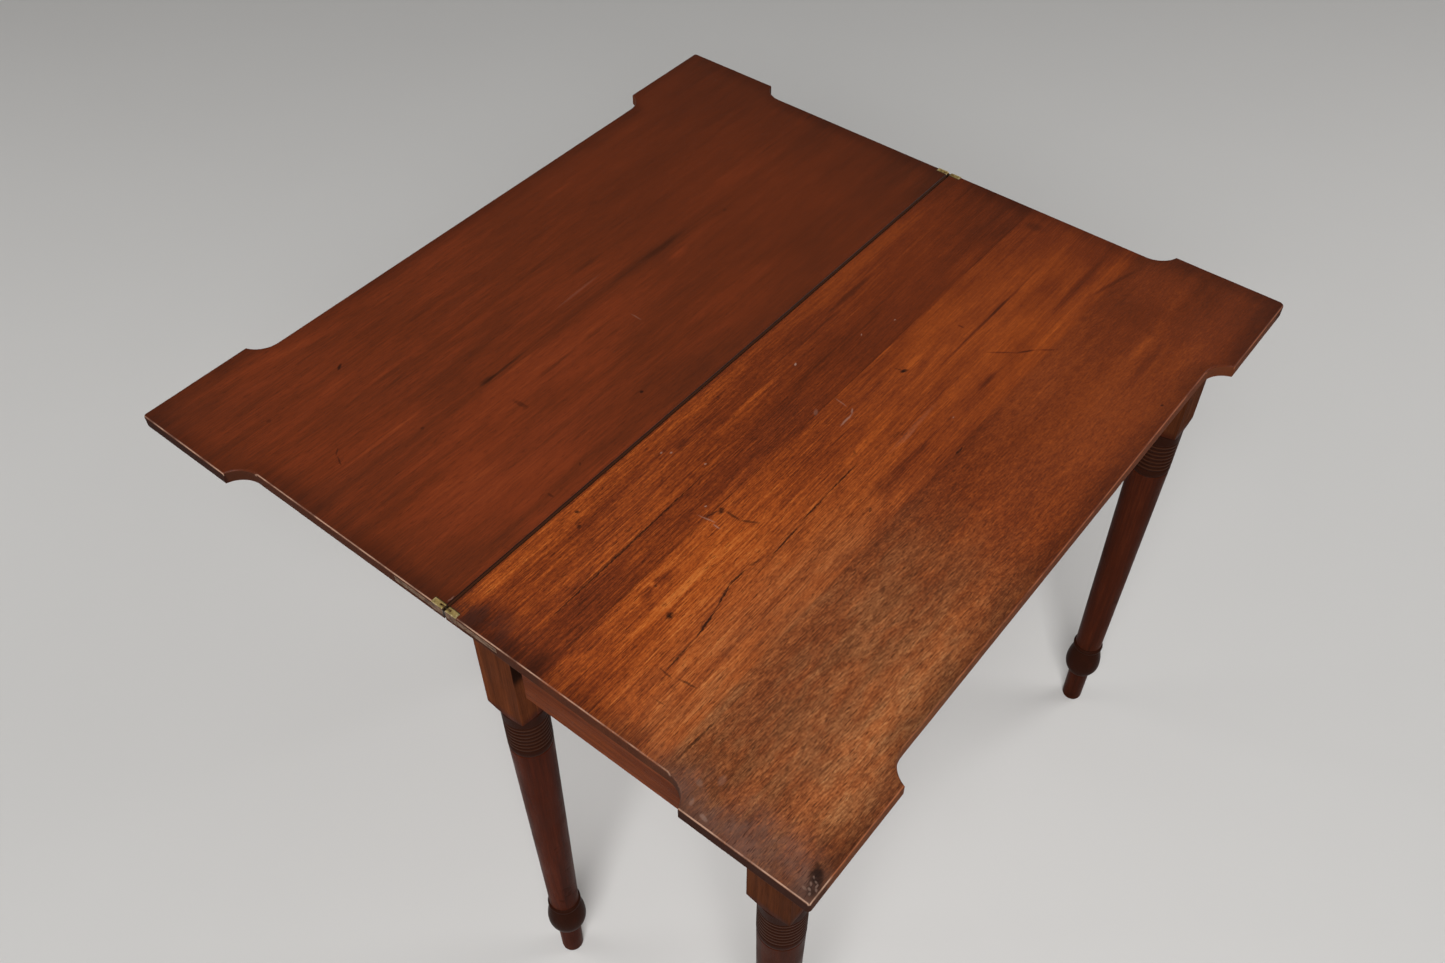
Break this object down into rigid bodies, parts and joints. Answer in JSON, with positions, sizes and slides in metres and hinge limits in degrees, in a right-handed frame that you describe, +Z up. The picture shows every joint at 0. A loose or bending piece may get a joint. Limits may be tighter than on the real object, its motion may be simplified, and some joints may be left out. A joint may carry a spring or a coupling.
{
  "type": "flip-top card table",
  "caption": "Flip-top card table with two outset-cornered leaves on edge hinges and turned legs; one rear fly leg is swung out to hold the open leaf.",
  "frame": {"origin": "on the floor under the middle of the line between the two leaves", "axes": "+X along the line between the leaves, +Y from the fixed leaf towards the flip leaf, +Z up"},
  "size_m": [0.89, 0.843, 0.76],
  "materials": {
    "fixed_leaf_wood": "worn satin polish, lighter and streaked",
    "flip_leaf_wood": "satin polish, dark and even",
    "leg_wood": "satin polish, dark",
    "rail_wood": "satin polish",
    "inner_wood": "bare, aged",
    "fly_wood": "bare, aged",
    "hinge_brass": "dull, tarnished",
    "iron": "dark, bare"
  },
  "bodies": {
    "frame": {"fixed_leaf": "fixed_leaf_wood", "fixed_hinge_arm_left": "hinge_brass", "fixed_hinge_pin_left": "hinge_brass", "fixed_hinge_screw_left_1": "hinge_brass", "fixed_hinge_screw_left_2": "hinge_brass", "front_left_leg": "leg_wood", "left_end_rail": "rail_wood", "rear_glue_block_left": "inner_wood", "knuckle_pin_left": "iron", "fixed_hinge_arm_right": "hinge_brass", "fixed_hinge_pin_right": "hinge_brass", "fixed_hinge_screw_right_1": "hinge_brass", "fixed_hinge_screw_right_2": "hinge_brass", "front_right_leg": "leg_wood", "right_end_rail": "rail_wood", "rear_glue_block_right": "inner_wood", "knuckle_pin_right": "iron", "front_rail": "rail_wood", "inner_rear_rail": "inner_wood", "medial_brace": "inner_wood", "knuckle_block": "fly_wood", "knuckle_block_screw_1": "iron", "knuckle_block_screw_2": "iron", "knuckle_block_screw_3": "iron", "knuckle_block_screw_4": "iron", "top_screw_1": "iron", "top_screw_2": "iron", "top_screw_3": "iron", "top_screw_4": "iron", "top_screw_5": "iron", "top_screw_6": "iron"},
    "hinge_links": {"hinge_link_left": "hinge_brass", "hinge_link_right": "hinge_brass"},
    "flip_top": {"flip_leaf": "flip_leaf_wood", "flip_hinge_arm_left": "hinge_brass", "flip_hinge_pin_left": "hinge_brass", "flip_hinge_screw_left_1": "hinge_brass", "flip_hinge_screw_left_2": "hinge_brass", "flip_hinge_arm_right": "hinge_brass", "flip_hinge_pin_right": "hinge_brass", "flip_hinge_screw_right_1": "hinge_brass", "flip_hinge_screw_right_2": "hinge_brass"},
    "left_fly": {"left_fly_rail": "fly_wood", "left_fly_leg": "leg_wood"},
    "right_fly": {"right_fly_rail": "fly_wood", "right_fly_leg": "leg_wood"}
  },
  "joints": [
    {"name": "link_turn", "type": "hinge", "parent": "frame", "child": "hinge_links", "pos_m": [0, -0.004, 0.7563], "axis": [1, 0, 0], "range_deg": [0, 90]},
    {"name": "leaf_turn", "type": "hinge", "parent": "hinge_links", "child": "flip_top", "pos_m": [0, 0.004, 0.7563], "axis": [1, 0, 0], "range_deg": [0, 90]},
    {"name": "left_fly_swing", "type": "hinge", "parent": "frame", "child": "left_fly", "pos_m": [-0.06, -0.0474, 0.6459], "axis": [0, 0, -1], "range_deg": [0, 90]},
    {"name": "right_fly_swing", "type": "hinge", "parent": "frame", "child": "right_fly", "pos_m": [0.06, -0.0474, 0.6459], "axis": [0, 0, 1], "range_deg": [-90, 0]}
  ]
}
